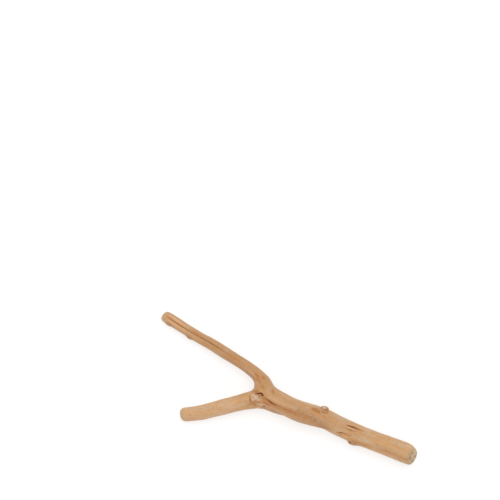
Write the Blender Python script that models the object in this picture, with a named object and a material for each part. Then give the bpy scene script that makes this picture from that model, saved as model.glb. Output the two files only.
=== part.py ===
"""A small sea-worn branch that forks in two, lying down as it rests on a table.

Metres, +Z up. The long axis runs along X: the sawn butt is at +X, and the fork and
the two arms are towards -X. The origin is on the table, under the middle of the branch.
"""
import bmesh
import bpy
import numpy as np
from mathutils import Matrix, Vector, noise
from mathutils.bvhtree import BVHTree

MM = 0.001

# Limbs: x, y and z of the middle of the wood and its radius, in millimetres.
# The first limb is the trunk and, past the fork, the long upper arm.
MAIN_RUN = (
    (108, 24.6, 6.2, 6.7),
    (98, 23.4, 6.6, 6.9),
    (90, 22.3, 7.3, 7.2),
    (82, 21.1, 7.5, 7.0),
    (72, 19.7, 7.6, 6.8),
    (58, 17.8, 7.6, 6.9),
    (45, 16.6, 7.8, 6.9),
    (35, 16.4, 7.9, 6.9),
    (26, 15.0, 8.0, 7.1),
    (16, 12.7, 8.1, 7.1),
    (6, 11.7, 8.2, 6.6),
    (-2, 11.8, 8.3, 5.8),
    (-9, 13.5, 8.5, 5.7),
    (-16, 18.0, 8.5, 5.3),
    (-22, 20.8, 8.3, 4.3),
    (-29, 22.1, 8.0, 4.0),
    (-48, 23.7, 7.1, 4.1),
    (-59, 24.6, 6.6, 4.1),
    (-70, 24.8, 5.9, 4.0),
    (-82, 25.6, 5.0, 4.0),
    (-93, 26.5, 4.1, 4.0),
    (-104, 27.3, 3.0, 3.7),
)
SIDE_ARM = (
    (-1, 10.0, 8.0, 4.8),
    (-10, 7.0, 8.0, 5.1),
    (-17, 3.1, 7.9, 5.7),
    (-23, -2.1, 7.6, 5.4),
    (-33, -11.3, 6.8, 5.2),
    (-43, -20.4, 5.6, 5.0),
    (-50, -25.4, 4.8, 4.8),
    (-58, -30.2, 4.0, 4.7),
)
# A third arm once grew along the trunk and was broken off over the fork.
STUB = (
    (44, 15.4, 8.6, 3.0),
    (31, 12.3, 9.2, 4.4),
    (18, 9.9, 9.6, 4.9),
    (9, 8.3, 10.1, 4.2),
    (2, 7.1, 10.9, 3.4),
    (-4, 6.1, 11.4, 3.3),
    (-10, 5.2, 11.8, 3.4),
    (-20, 4.0, 12.6, 3.9),
)
# Ends: a point on the cut, the way that it faces, and how far its edge is worn round.
BUTT_END = ((98.8, 23.4, 7.0), (1.0, 0.06, 0.2), 2.2)
BUTT_CORNER = ((95.2, 30.2, 8.0), (0.5, 0.85, 0.15), 3.0)
TIP_END = ((-99.6, 26.9, 4.0), (-1.0, 0.1, -0.05), 3.4)
SIDE_END = ((-54.8, -28.2, 4.8), (-0.83, -0.55, -0.05), 4.4)
STUB_END = ((-16.6, 4.4, 12.0), (-1.0, -0.1, 0.15), 2.2)
# Stumps of twigs: x, y, z and radius, in millimetres.
NUBS = (
    (30.0, 22.3, 10.5, 2.7),
    (56.4, 10.7, 8.2, 2.5),
    (59.4, 12.0, 8.4, 2.4),
    (-75.0, 21.5, 5.6, 2.0),
    (-91.5, 23.0, 4.0, 2.0),
    (74.0, 24.9, 4.4, 2.4),
)
# How far out from its middle a stump is worn flat, as a share of its radius, and how far
# the edge of that flat is worn round, in millimetres.
NUB_FLAT = 0.55
NUB_WEAR = 1.2

# Openings in the surface: x, y, half width and depth at each point, in millimetres.
# These are drawn from above and sunk into the wood under them.
LONG_GROOVE = (
    (-96, 26.5, 1.3, 0.5),
    (-89, 25.9, 1.1, 0.6),
    (-81, 24.9, 0.9, 0.7),
    (-72, 24.3, 0.7, 0.9),
    (-64, 24.7, 0.6, 1.1),
    (-56, 24.1, 0.6, 0.9),
    (-46, 22.8, 0.6, 0.0),
)
FORK_HOLLOW = (
    (-15.8, 7.0, 0.5, 0.4),
    (-14.8, 8.5, 0.6, 1.4),
    (-13.3, 9.6, 0.7, 2.0),
    (-11.5, 9.6, 0.7, 1.8),
    (-10.2, 8.6, 0.6, 0.6),
)
FORK_SEAM = (
    (-10.2, 8.6, 0.6, 0.4),
    (-4.5, 8.2, 0.8, 1.1),
    (-0.5, 8.0, 0.9, 1.1),
    (4.0, 8.0, 1.2, 0.6),
    (14.0, 9.0, 1.6, 0.5),
    (26.0, 11.8, 1.8, 0.3),
    (36.0, 14.4, 1.8, 0.0),
)
# A negative depth is a raised lip.
STUB_LIP = (
    (-14.5, 1.6, 0.6, 0.0),
    (-12.0, 1.2, 0.8, -0.6),
    (-9.0, 1.4, 0.8, -0.6),
    (-7.5, 1.8, 0.5, 0.0),
)
LIP_PIT = (
    (-7.6, 2.4, 0.6, 0.4),
    (-6.6, 2.6, 0.8, 1.2),
    (-5.6, 2.7, 0.5, 0.3),
)
LONG_CRACK = (
    (47.8, 18.7, 0.4, 0.0),
    (52.5, 19.3, 0.8, 1.5),
    (56.0, 19.9, 0.7, 1.2),
    (60.5, 20.3, 0.4, 0.0),
)
FINE_CRACK = (
    (50.8, 16.6, 0.5, 0.0),
    (53.8, 16.9, 0.6, 0.6),
    (57.5, 17.7, 0.5, 0.0),
)
SHORT_CRACK = (
    (45.5, 11.8, 0.5, 0.2),
    (48.5, 12.5, 0.7, 0.9),
    (54.8, 13.8, 0.5, 0.0),
)
OPENINGS_ABOVE = (
    LONG_GROOVE, FORK_HOLLOW, FORK_SEAM, STUB_LIP, LIP_PIT, LONG_CRACK, FINE_CRACK, SHORT_CRACK,
)
# These are drawn from above too, and sunk into the underside.
UNDER_GROOVE = (
    (-4, 13.0, 1.2, 0.0),
    (8, 12.4, 1.4, 0.8),
    (22, 14.6, 1.2, 0.9),
    (40, 17.4, 1.0, 0.5),
    (50, 18.0, 1.0, 0.0),
)
UNDER_CRACK = (
    (62, 15.6, 0.5, 0.0),
    (68, 16.4, 0.7, 1.2),
    (74, 17.2, 0.7, 1.0),
    (80, 17.6, 0.5, 0.0),
)
UNDER_KNOT = (
    (-27.0, -6.6, 0.8, 0.8),
    (-26.0, -5.2, 1.0, 1.3),
    (-25.0, -4.4, 0.8, 0.8),
)
UNDER_ARM_GROOVE = (
    (-36, 22.6, 0.6, 0.0),
    (-48, 23.2, 0.8, 0.6),
    (-60, 23.9, 0.8, 0.6),
    (-70, 24.6, 0.6, 0.0),
)
OPENINGS_BELOW = (UNDER_GROOVE, UNDER_CRACK, UNDER_KNOT, UNDER_ARM_GROOVE)

# How widely the limbs and stumps run into each other, and how deep the crease between them is.
FORK_BLEND = 9.0 * MM
STUB_BLEND = 1.2 * MM
STUB_CREASE = 0.5 * MM
NUB_BLEND = 1.8 * MM
NUB_CREASE = 0.25 * MM

# Soft ribs run along each limb and turn slowly round it: their height as a share of the
# limb's radius, the number of broad and of narrow ones, and the length of a turn.
RIB_HEIGHT = 0.022
BROAD_RIBS = 2
NARROW_RIBS = 5
NARROW_SHARE = 0.6
RIB_TURN = 28 * MM

# Low lumps, as tumbling in water leaves them.
LUMP_HEIGHT = 0.25 * MM
LUMP_SIZE = 11 * MM

LINE_STEP = 2.5 * MM
START_VOXEL = 1.0 * MM
START_ROUNDS = 6
FINE_VOXEL = 0.5 * MM
FINE_ROUNDS = 2
CLEAR_HEIGHT = 50 * MM
TRIANGLES = 9000


def centreline(stations):
    """Rows of x, y, z and radius, in metres, on a smooth line through the stations."""
    knots = np.array(stations) * MM
    chords = np.linalg.norm(np.diff(knots[:, :3], axis=0), axis=1)
    places = np.concatenate(([0.0], np.cumsum(chords)))
    slopes = np.gradient(knots, places, axis=0)
    samples = np.linspace(0.0, places[-1], round(places[-1] / LINE_STEP) + 1)
    before = np.clip(np.searchsorted(places, samples, side="right") - 1, 0, len(chords) - 1)
    span = chords[before][:, None]
    t = (samples - places[before])[:, None] / span
    return (
        (2 * t**3 - 3 * t**2 + 1) * knots[before]
        + (t**3 - 2 * t**2 + t) * span * slopes[before]
        + (3 * t**2 - 2 * t**3) * knots[before + 1]
        + (t**3 - t**2) * span * slopes[before + 1]
    )


def nearest_rows(points, line):
    """The distance from each point to the line, and the line's own values at that place."""
    distances = np.full(len(points), np.inf)
    rows = np.zeros((len(points), line.shape[1]))
    for start, end in zip(line[:-1], line[1:]):
        step = end - start
        t = np.clip((points - start[:3]) @ step[:3] / (step[:3] @ step[:3]), 0.0, 1.0)
        here = start + t[:, None] * step
        distance = np.linalg.norm(points - here[:, :3], axis=1)
        closer = distance < distances
        distances[closer] = distance[closer]
        rows[closer] = here[closer]
    return distances, rows


def limb_shape(points, line):
    """Distance from a ribbed limb's skin, more than 0 outside, and the way straight out."""
    distances, rows = nearest_rows(points, line)
    outward = (points - rows[:, :3]) / distances[:, None]
    angle = np.arctan2(outward[:, 2], outward[:, 1])
    turn = rows[:, 0] / RIB_TURN
    ribs = np.cos(BROAD_RIBS * angle + turn) + NARROW_SHARE * np.cos(NARROW_RIBS * angle - turn)
    return distances - rows[:, 3] * (1 + RIB_HEIGHT * ribs), outward


def nub_shape(points, nub, limbs):
    """A twig stump: a ball, worn flat on the side away from its limb."""
    middle = np.array(nub[:3]) * MM
    offsets = points - middle
    distances = np.linalg.norm(offsets, axis=1)
    ball = (distances - nub[3] * MM, offsets / distances[:, None])
    _, trunk = nearest_rows(middle[None], limbs[0])
    facing = (middle - trunk[0, :3]) / np.linalg.norm(middle - trunk[0, :3])
    flat = middle / MM + facing * nub[3] * NUB_FLAT
    return cut(points, ball, (flat, facing, NUB_WEAR))


def joined(first, second, width, crease=0.0):
    """Two shapes grown together over a width, with a crease sunk along the line where they meet."""
    apart = (second[0] - first[0]) / width
    share = np.clip(0.5 + 0.5 * apart, 0.0, 1.0)
    distance = second[0] + (first[0] - second[0]) * share - width * share * (1 - share)
    distance = distance + crease * np.exp(-(apart**2))
    return distance, second[1] + (first[1] - second[1]) * share[:, None]


def cut(points, shape, end):
    """The shape cut off flat at an end, with the cut's edge worn round."""
    place, facing, wear = end
    facing = np.array(Vector(facing).normalized())
    beyond = (points - np.array(place) * MM) @ facing
    kept = joined((-shape[0], -shape[1]), (-beyond, -np.tile(facing, (len(points), 1))), wear * MM)
    return -kept[0], -kept[1]


def branch_shape(points, limbs):
    """Distance from the whole branch's skin, more than 0 outside, and the way straight out."""
    main, side, stub = (limb_shape(points, line) for line in limbs)
    for end in (BUTT_END, BUTT_CORNER, TIP_END):
        main = cut(points, main, end)
    side = cut(points, side, SIDE_END)
    stub = cut(points, stub, STUB_END)
    shape = joined(main, side, FORK_BLEND)
    shape = joined(shape, stub, STUB_BLEND, STUB_CREASE)
    for nub in NUBS:
        shape = joined(shape, nub_shape(points, nub, limbs), NUB_BLEND, NUB_CREASE)
    return shape


def tube(name, line):
    """A closed tube along the line, as thick as the limb."""
    curve = bpy.data.curves.new(name, "CURVE")
    curve.dimensions = "3D"
    curve.bevel_depth = 1.0
    curve.bevel_resolution = 4
    curve.use_fill_caps = True
    spline = curve.splines.new("POLY")
    spline.points.add(len(line) - 1)
    for point, (x, y, z, radius) in zip(spline.points, line):
        point.co = (x, y, z, 1.0)
        point.radius = radius
    return bpy.data.objects.new(name, curve)


def evaluated_mesh(helper):
    """The mesh that a helper object shows, which is then removed."""
    bpy.context.scene.collection.objects.link(helper)
    depsgraph = bpy.context.evaluated_depsgraph_get()
    mesh = bpy.data.meshes.new_from_object(helper.evaluated_get(depsgraph))
    bpy.data.objects.remove(helper)
    return mesh


def with_modifier(mesh, kind, **settings):
    body = bpy.data.objects.new("wood", mesh)
    modifier = body.modifiers.new(kind.title(), kind)
    for name, value in settings.items():
        setattr(modifier, name, value)
    return evaluated_mesh(body)


def positions(mesh):
    flat = np.empty(3 * len(mesh.vertices))
    mesh.vertices.foreach_get("co", flat)
    return flat.reshape(-1, 3)


def normals(mesh):
    flat = np.empty(3 * len(mesh.vertices))
    mesh.vertices.foreach_get("normal", flat)
    return flat.reshape(-1, 3)


def move_to(mesh, points):
    mesh.vertices.foreach_set("co", points.ravel())
    mesh.update()


def settle_on_skin(mesh, limbs, rounds):
    """Slides every vertex onto the branch's skin."""
    points = positions(mesh)
    for _ in range(rounds):
        distance, outward = branch_shape(points, limbs)
        length = np.maximum(np.linalg.norm(outward, axis=1), 0.5)
        points = points - outward * (distance / length**2)[:, None]
    move_to(mesh, points)


def line_on_wood(tree, opening, height):
    """An opening's line, laid on the wood from a height above it, or below it if less than 0."""
    rows = []
    points = np.array(opening) * MM
    for start, end in zip(points[:-1], points[1:]):
        for share in (0.25, 0.5, 0.75, 1.0):
            x, y, half_width, depth = start + share * (end - start)
            place = tree.ray_cast(Vector((x, y, height)), Vector((0, 0, -height)))[0]
            if place is not None:
                rows.append((*place, half_width, depth))
    return np.array(rows)


def add_relief(mesh):
    """Sinks the grooves and cracks, and adds the low lumps that tumbling leaves."""
    tree = BVHTree.FromPolygons([v.co for v in mesh.vertices], [p.vertices for p in mesh.polygons])
    points = positions(mesh)
    lines = [line_on_wood(tree, opening, CLEAR_HEIGHT) for opening in OPENINGS_ABOVE]
    lines += [line_on_wood(tree, opening, -CLEAR_HEIGHT) for opening in OPENINGS_BELOW]
    depth = np.zeros(len(points))
    for line in lines:
        distances, rows = nearest_rows(points, line)
        depth += rows[:, 4] * np.exp(-((distances / rows[:, 3]) ** 2))
    lumps = np.array([noise.noise(Vector(point) / LUMP_SIZE) for point in points])
    move_to(mesh, points + normals(mesh) * (LUMP_HEIGHT * lumps - depth)[:, None])


def cut_rest_flats(mesh):
    """Wears the lowest places flat, where the branch rests on the table."""
    bm = bmesh.new()
    bm.from_mesh(mesh)
    cut_parts = bmesh.ops.bisect_plane(
        bm, geom=bm.verts[:] + bm.edges[:] + bm.faces[:], dist=1e-6,
        plane_co=(0, 0, 0), plane_no=(0, 0, -1), clear_outer=True,
    )
    rim = [e for e in cut_parts["geom_cut"] if isinstance(e, bmesh.types.BMEdge)]
    bmesh.ops.contextual_create(bm, geom=rim)
    bmesh.ops.triangulate(bm, faces=bm.faces[:])
    bm.to_mesh(mesh)
    bm.free()


def wood_material():
    material = bpy.data.materials.new("driftwood")
    material.use_nodes = True
    shader = material.node_tree.nodes["Principled BSDF"]
    shader.inputs["Base Color"].default_value = (0.57, 0.32, 0.16, 1.0)
    shader.inputs["Roughness"].default_value = 0.7
    shader.inputs["Metallic"].default_value = 0.0
    return material


def driftwood_branch():
    """Tubes and balls, melted into one body, drawn onto the branch's skin, and then worn."""
    limbs = [centreline(stations) for stations in (MAIN_RUN, SIDE_ARM, STUB)]
    bm = bmesh.new()
    for line in limbs:
        bm.from_mesh(evaluated_mesh(tube("limb", line)))
    for x, y, z, radius in NUBS:
        place = Matrix.Translation(Vector((x, y, z)) * MM)
        bmesh.ops.create_icosphere(bm, subdivisions=2, radius=radius * MM, matrix=place)
    mesh = bpy.data.meshes.new("driftwood_branch")
    bm.to_mesh(mesh)
    bm.free()
    mesh = with_modifier(mesh, "REMESH", mode="VOXEL", voxel_size=START_VOXEL)
    settle_on_skin(mesh, limbs, START_ROUNDS)
    mesh = with_modifier(mesh, "REMESH", mode="VOXEL", voxel_size=FINE_VOXEL)
    settle_on_skin(mesh, limbs, FINE_ROUNDS)
    add_relief(mesh)
    split_quads = 2 * len(mesh.polygons)
    mesh = with_modifier(mesh, "DECIMATE", ratio=TRIANGLES / split_quads)
    cut_rest_flats(mesh)
    mesh.shade_smooth()
    mesh.materials.clear()
    mesh.materials.append(wood_material())
    branch = bpy.data.objects.new("driftwood_branch", mesh)
    bpy.context.scene.collection.objects.link(branch)


for leftover in list(bpy.data.objects):
    bpy.data.objects.remove(leftover)
driftwood_branch()
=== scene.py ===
import math

import bmesh
import bpy
import numpy as np
from mathutils import Matrix, Vector, noise
from mathutils.bvhtree import BVHTree


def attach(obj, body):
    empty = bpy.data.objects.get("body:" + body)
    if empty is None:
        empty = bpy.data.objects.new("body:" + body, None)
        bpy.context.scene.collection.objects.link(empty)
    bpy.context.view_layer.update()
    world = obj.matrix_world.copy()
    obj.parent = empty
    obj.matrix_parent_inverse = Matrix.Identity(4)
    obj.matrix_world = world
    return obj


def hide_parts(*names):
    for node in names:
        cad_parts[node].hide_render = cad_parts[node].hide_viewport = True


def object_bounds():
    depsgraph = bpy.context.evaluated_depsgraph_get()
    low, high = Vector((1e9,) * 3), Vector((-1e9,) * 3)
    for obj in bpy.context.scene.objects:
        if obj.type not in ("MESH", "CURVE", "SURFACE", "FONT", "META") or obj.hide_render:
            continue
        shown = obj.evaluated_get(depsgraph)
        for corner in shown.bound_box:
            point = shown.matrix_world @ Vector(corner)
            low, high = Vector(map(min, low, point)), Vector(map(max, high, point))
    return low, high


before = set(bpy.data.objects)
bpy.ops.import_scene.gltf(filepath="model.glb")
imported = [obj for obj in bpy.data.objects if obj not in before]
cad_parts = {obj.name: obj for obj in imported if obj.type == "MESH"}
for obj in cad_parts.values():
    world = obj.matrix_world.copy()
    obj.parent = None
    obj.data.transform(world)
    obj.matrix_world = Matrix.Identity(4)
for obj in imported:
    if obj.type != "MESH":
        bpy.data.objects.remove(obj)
cad_low, cad_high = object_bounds()
MM = 0.001

# The limbs. A trunk runs on past the fork as the long arm, a short arm leaves it there, and the
# stub of a third arm lies over the fork. They are one piece of hardwood, grown together, that has
# lost its bark and was rolled smooth by water. It grew to this shape, and nothing joins it.
# Each row is the x, y and z of the middle of the wood and its radius, in millimetres.
MAIN_RUN = (
    (108, 24.6, 6.2, 6.7),
    (98, 23.4, 6.6, 6.9),
    (90, 22.3, 7.3, 7.2),
    (82, 21.1, 7.5, 7.0),
    (72, 19.7, 7.6, 6.8),
    (58, 17.8, 7.6, 6.9),
    (45, 16.8, 7.8, 6.8),
    (35, 16.4, 7.9, 6.9),
    (26, 15.0, 8.0, 7.1),
    (16, 12.7, 8.1, 7.1),
    (6, 11.7, 8.2, 6.6),
    (-2, 11.8, 8.3, 5.8),
    (-9, 13.5, 8.5, 5.7),
    (-16, 18.0, 8.5, 5.3),
    (-22, 20.8, 8.3, 4.3),
    (-29, 22.1, 8.0, 4.0),
    (-48, 23.7, 7.1, 4.1),
    (-59, 24.6, 6.6, 4.1),
    (-70, 24.8, 5.9, 4.0),
    (-82, 25.6, 5.0, 4.0),
    (-93, 26.5, 4.1, 4.0),
    (-104, 27.3, 3.0, 3.7),
)
SIDE_ARM = (
    (-1, 10.0, 8.0, 4.8),
    (-10, 7.0, 8.0, 5.1),
    (-17, 3.1, 7.9, 5.7),
    (-23, -2.1, 7.6, 5.4),
    (-33, -11.3, 6.8, 5.2),
    (-43, -20.4, 5.6, 5.0),
    (-50, -25.4, 4.8, 4.8),
    (-58, -30.2, 4.0, 4.7),
)
STUB = (
    (44, 15.4, 8.6, 3.0),
    (31, 12.6, 9.2, 4.2),
    (18, 9.9, 9.6, 4.9),
    (9, 8.3, 10.1, 4.2),
    (2, 7.1, 10.9, 3.4),
    (-4, 6.1, 11.4, 3.3),
    (-10, 5.2, 11.8, 3.4),
    (-20, 4.0, 12.6, 3.9),
)
# How brown the wood of each limb is along it: x in millimetres, and how brown from 0 to 1.
MAIN_BROWN = ((-104, 0.35), (-84, 0.55), (-40, 0.85), (-12, 0.75), (8, 0.25), (40, 0.15), (108, 0.15))
SIDE_BROWN = ((-58, 0.0), (-26, 0.05), (-12, 0.35), (0, 0.5))
STUB_BROWN = ((-20, 0.1), (0, 0.3), (44, 0.4))
# The step between two places on a limb's middle line.
LINE_STEP = 1.25 * MM
# Soft ribs turn slowly round each limb. Their height is a share of the limb's radius.
RIB_HEIGHT = 0.022
BROAD_RIBS = 2
NARROW_RIBS = 5
NARROW_SHARE = 0.6
RIB_TURN = 28 * MM
# How widely the limbs run into each other, and how deep the seam beside the stub is.
FORK_BLEND = 9.0 * MM
STUB_BLEND = 1.2 * MM
STUB_CREASE = 0.5 * MM

# What each point of the skin carries: the way straight out, its place in the straightened grain
# (along it, level across it, and up), how brown it is, and how much of it is cut end, bleached
# wood or a seam.
OUTWARD = slice(0, 3)
GRAIN = slice(3, 6)
BROWN, CUT, BLEACHED, SEAM = 6, 7, 8, 9
FIELDS = 10


def centreline(stations, browns, start=0.0):
    """Rows of x, y, z, radius, way along, x and y of the level way across, and how brown it is."""
    knots = np.array(stations) * MM
    chords = np.linalg.norm(np.diff(knots[:, :3], axis=0), axis=1)
    places = np.concatenate(([0.0], np.cumsum(chords)))
    slopes = np.gradient(knots, places, axis=0)
    samples = np.linspace(0.0, places[-1], round(places[-1] / LINE_STEP) + 1)
    before = np.clip(np.searchsorted(places, samples, side="right") - 1, 0, len(chords) - 1)
    span = chords[before][:, None]
    t = (samples - places[before])[:, None] / span
    rows = (
        (2 * t**3 - 3 * t**2 + 1) * knots[before]
        + (t**3 - 2 * t**2 + t) * span * slopes[before]
        + (3 * t**2 - 2 * t**3) * knots[before + 1]
        + (t**3 - t**2) * span * slopes[before + 1]
    )
    heading = np.gradient(rows[:, :2], axis=0)
    across = np.column_stack((-heading[:, 1], heading[:, 0]))
    across /= np.linalg.norm(across, axis=1)[:, None]
    brown = np.interp(rows[:, 0] / MM, *zip(*browns))
    return np.column_stack((rows, start + samples, across, brown))


def nearest_rows(points, line):
    """The distance from each point to the line, and the line's own values at that place."""
    distances = np.full(len(points), np.inf)
    rows = np.zeros((len(points), line.shape[1]))
    for start, end in zip(line[:-1], line[1:]):
        step = end - start
        t = np.clip((points - start[:3]) @ step[:3] / (step[:3] @ step[:3]), 0.0, 1.0)
        here = start[:3] + t[:, None] * step[:3]
        distance = np.linalg.norm(points - here, axis=1)
        closer = distance < distances
        distances[closer] = distance[closer]
        rows[closer] = start + t[closer, None] * step
    return distances, rows


def branching_off(stations, browns, line):
    """The centreline of a limb whose grain leaves another limb's where its first station is."""
    first = np.array(stations[0][:3])[None] * MM
    return centreline(stations, browns, nearest_rows(first, line)[1][0, 4])


def limb_shape(points, line):
    """Distance from a ribbed limb's skin, more than 0 outside, and what the skin carries there."""
    distances, rows = nearest_rows(points, line)
    offsets = points - rows[:, :3]
    outward = offsets / distances[:, None]
    angle = np.arctan2(outward[:, 2], outward[:, 1])
    turn = rows[:, 0] / RIB_TURN
    ribs = np.cos(BROAD_RIBS * angle + turn) + NARROW_SHARE * np.cos(NARROW_RIBS * angle - turn)
    level = (offsets[:, :2] * rows[:, 5:7]).sum(axis=1)
    fields = np.zeros((len(points), FIELDS))
    fields[:, OUTWARD] = outward
    fields[:, GRAIN] = np.column_stack((rows[:, 4], level, offsets[:, 2])) / MM
    fields[:, BROWN] = rows[:, 7]
    return distances - rows[:, 3] * (1 + RIB_HEIGHT * ribs), fields


def grown_together(first, second, width, crease=0.0):
    """Two shapes run into each other over a width, with a crease sunk along the seam between them."""
    apart = (second[0] - first[0]) / width
    share = np.clip(0.5 + 0.5 * apart, 0.0, 1.0)
    seam = np.exp(-(apart**2))
    distance = second[0] + (first[0] - second[0]) * share - width * share * (1 - share)
    fields = second[1] + (first[1] - second[1]) * share[:, None]
    if crease:
        fields[:, SEAM] = np.maximum(fields[:, SEAM], seam)
    return distance + crease * seam, fields


# The ends. The butt was sawn across and shows its rings. The arms broke off, and so did the stub,
# whose end has bleached. All of them are worn round at the edge.
# Each end has a point on it, the way it faces, how far its edge is worn round in millimetres, and
# how much it shows of its end grain and of bleached wood.
BUTT_END = ((98.2, 23.4, 7.0), (1.0, 0.04, 0.30), 2.2, 1.0, 0.0)
BUTT_CORNER = ((94.6, 29.9, 8.0), (0.45, 0.85, 0.3), 3.0, 0.0, 0.3)
TIP_END = ((-99.6, 26.9, 4.0), (-1.0, 0.1, -0.05), 3.4, 0.4, 0.1)
SIDE_END = ((-54.8, -28.2, 4.8), (-0.83, -0.55, -0.05), 4.4, 0.3, 0.1)
STUB_END = ((-16.6, 4.4, 12.0), (-1.0, -0.1, 0.15), 2.2, 0.2, 1.0)


def cut_off(points, shape, end):
    """The shape cut off flat at an end, with the cut's edge worn round."""
    place, facing, wear, cut, bleached = end
    facing = np.array(Vector(facing).normalized())
    beyond = (points - np.array(place) * MM) @ facing
    face = shape[1].copy()
    face[:, OUTWARD] = facing
    face[:, CUT] = cut
    face[:, BLEACHED] = bleached
    share = np.clip(0.5 + 0.5 * (shape[0] - beyond) / (wear * MM), 0.0, 1.0)
    distance = beyond + (shape[0] - beyond) * share + wear * MM * share * (1 - share)
    return distance, face + (shape[1] - face) * share[:, None]


# The stumps of twigs. Each is a knob of harder wood that stands out of its limb, in a shallow
# crease, and is worn flat on top, where it has bleached.
# Each row is x, y, z and radius in millimetres, how much of its top has bleached, how widely it
# runs into its limb, and how deep the crease round it is, both in millimetres.
NUBS = (
    (30.0, 22.6, 10.6, 2.9, 0.9, 1.6, 0.25),
    (57.0, 11.0, 6.4, 2.6, 0.1, 1.7, 0.05),
    (59.4, 12.5, 6.6, 2.5, 0.0, 2.2, 0.05),
    (-75.8, 21.7, 4.4, 1.9, 0.1, 1.8, 0.05),
    (-92.9, 23.7, 2.8, 1.9, 0.2, 1.8, 0.05),
    (74.0, 24.9, 4.4, 2.4, 0.6, 1.8, 0.25),
)
# How far out from its middle a stump is worn flat, as a share of its radius, and how far the
# edge of that flat is worn round, in millimetres.
NUB_FLAT = 0.62
NUB_WEAR = 2.0


def nub_shape(points, nub, limbs, wood):
    """A twig stump: a ball in the limb's own grain, worn flat on the side away from its limb."""
    middle = np.array(nub[:3]) * MM
    offsets = points - middle
    distances = np.linalg.norm(offsets, axis=1)
    fields = wood[1].copy()
    fields[:, OUTWARD] = offsets / distances[:, None]
    _, trunk = nearest_rows(middle[None], limbs[0])
    facing = (middle - trunk[0, :3]) / np.linalg.norm(middle - trunk[0, :3])
    flat = middle / MM + facing * nub[3] * NUB_FLAT
    return cut_off(points, (distances - nub[3] * MM, fields), (flat, facing, NUB_WEAR, 0.0, nub[4]))


def branch_shape(points, limbs):
    """Distance from the whole branch's skin, more than 0 outside, and what the skin carries."""
    main, side, stub = (limb_shape(points, line) for line in limbs)
    for end in (BUTT_END, BUTT_CORNER, TIP_END):
        main = cut_off(points, main, end)
    side = cut_off(points, side, SIDE_END)
    stub = cut_off(points, stub, STUB_END)
    wood = grown_together(main, side, FORK_BLEND)
    wood = grown_together(wood, stub, STUB_BLEND, STUB_CREASE)
    for nub in NUBS:
        blend, crease = nub[5] * MM, nub[6] * MM
        wood = grown_together(wood, nub_shape(points, nub, limbs, wood), blend, crease)
    return wood


# The openings in the skin: drying cracks that run with the grain, the furrow and the hollow
# beside the stub, and softer grooves that water has worn. Old dirt keeps the deep cracks dark,
# and the hollow, the seam's furrow beside the stub and the pit under its lip are darkened with
# painted shade.
# Each line is drawn on the wood, and each of its rows is x, y, half width and depth in
# millimetres. A negative depth is a raised lip.
LONG_GROOVE = (
    (-97.0, 26.9, 0.9, 0.15),
    (-92.2, 26.2, 1.1, 0.50),
    (-87.9, 25.6, 1.1, 0.50),
    (-83.5, 25.1, 0.9, 0.40),
    (-76.0, 24.6, 0.8, 0.35),
    (-64.8, 24.5, 0.8, 0.30),
    (-54.7, 23.9, 0.7, 0.20),
    (-46.0, 23.2, 0.7, 0.00),
)
LONG_CHECK = (
    (-93.5, 26.4, 0.20, 0.0),
    (-87.9, 25.6, 0.24, 0.3),
    (-79.4, 24.8, 0.26, 0.4),
    (-72.6, 24.5, 0.28, 0.5),
    (-64.8, 24.5, 0.30, 0.65),
    (-58.1, 24.1, 0.32, 0.8),
    (-51.2, 23.6, 0.28, 0.55),
    (-47.8, 23.3, 0.24, 0.3),
    (-43.0, 23.0, 0.20, 0.1),
    (-38.5, 22.6, 0.20, 0.0),
)
ARM_FURROW = (
    (-88, 28.0, 1.0, 0.0),
    (-80, 27.2, 1.2, 0.2),
    (-70, 26.9, 1.2, 0.25),
    (-58, 26.6, 1.2, 0.2),
    (-50, 26.0, 1.0, 0.0),
)
FORK_HOLLOW = (
    (-16.6, 7.6, 0.40, 0.2),
    (-15.2, 8.1, 0.45, 0.7),
    (-14.2, 8.8, 0.48, 1.0),
    (-13.3, 9.5, 0.50, 1.3),
    (-12.3, 9.7, 0.52, 1.3),
    (-11.3, 9.2, 0.54, 1.2),
    (-10.7, 8.8, 0.48, 0.9),
    (-10.2, 8.6, 0.40, 0.4),
)
HOLLOW_BUMP = (
    (-14.2, 7.9, 0.6, 0.0),
    (-13.2, 8.6, 0.7, -0.35),
    (-12.2, 8.7, 0.7, -0.35),
    (-11.4, 8.0, 0.6, 0.0),
)
FORK_SEAM = (
    (-9.7, 8.4, 0.40, 0.3),
    (-6.9, 7.9, 0.48, 0.50),
    (-4.8, 7.6, 0.52, 0.75),
    (-2.8, 7.3, 0.52, 0.8),
    (-0.8, 7.2, 0.45, 0.5),
    (1.6, 7.4, 0.45, 0.2),
    (4.8, 8.0, 0.60, 0.0),
)
SEAM_FURROW = (
    (0.0, 7.8, 0.9, 0.1),
    (4.8, 8.0, 1.1, 0.30),
    (14.4, 8.6, 1.4, 0.28),
    (26.0, 11.4, 1.6, 0.20),
    (36.0, 14.0, 1.6, 0.0),
)
STUB_RIM = (
    (-16.8, 7.0, 0.5, 0.0),
    (-17.2, 5.6, 0.5, -0.15),
    (-17.0, 4.4, 0.5, -0.20),
    (-15.9, 3.4, 0.5, -0.20),
    (-14.4, 2.6, 0.5, -0.15),
    (-13.1, 2.5, 0.5, 0.0),
)
STUB_LIP = (
    (-14.5, 1.6, 0.6, 0.0),
    (-12.0, 1.2, 0.8, -0.5),
    (-9.0, 1.4, 0.8, -0.5),
    (-7.5, 1.8, 0.5, 0.0),
)
LIP_PIT = (
    (-7.4, 2.5, 0.45, 0.5),
    (-6.8, 2.7, 0.50, 1.2),
    (-6.2, 2.8, 0.50, 1.2),
    (-5.7, 2.8, 0.45, 0.5),
)
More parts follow.
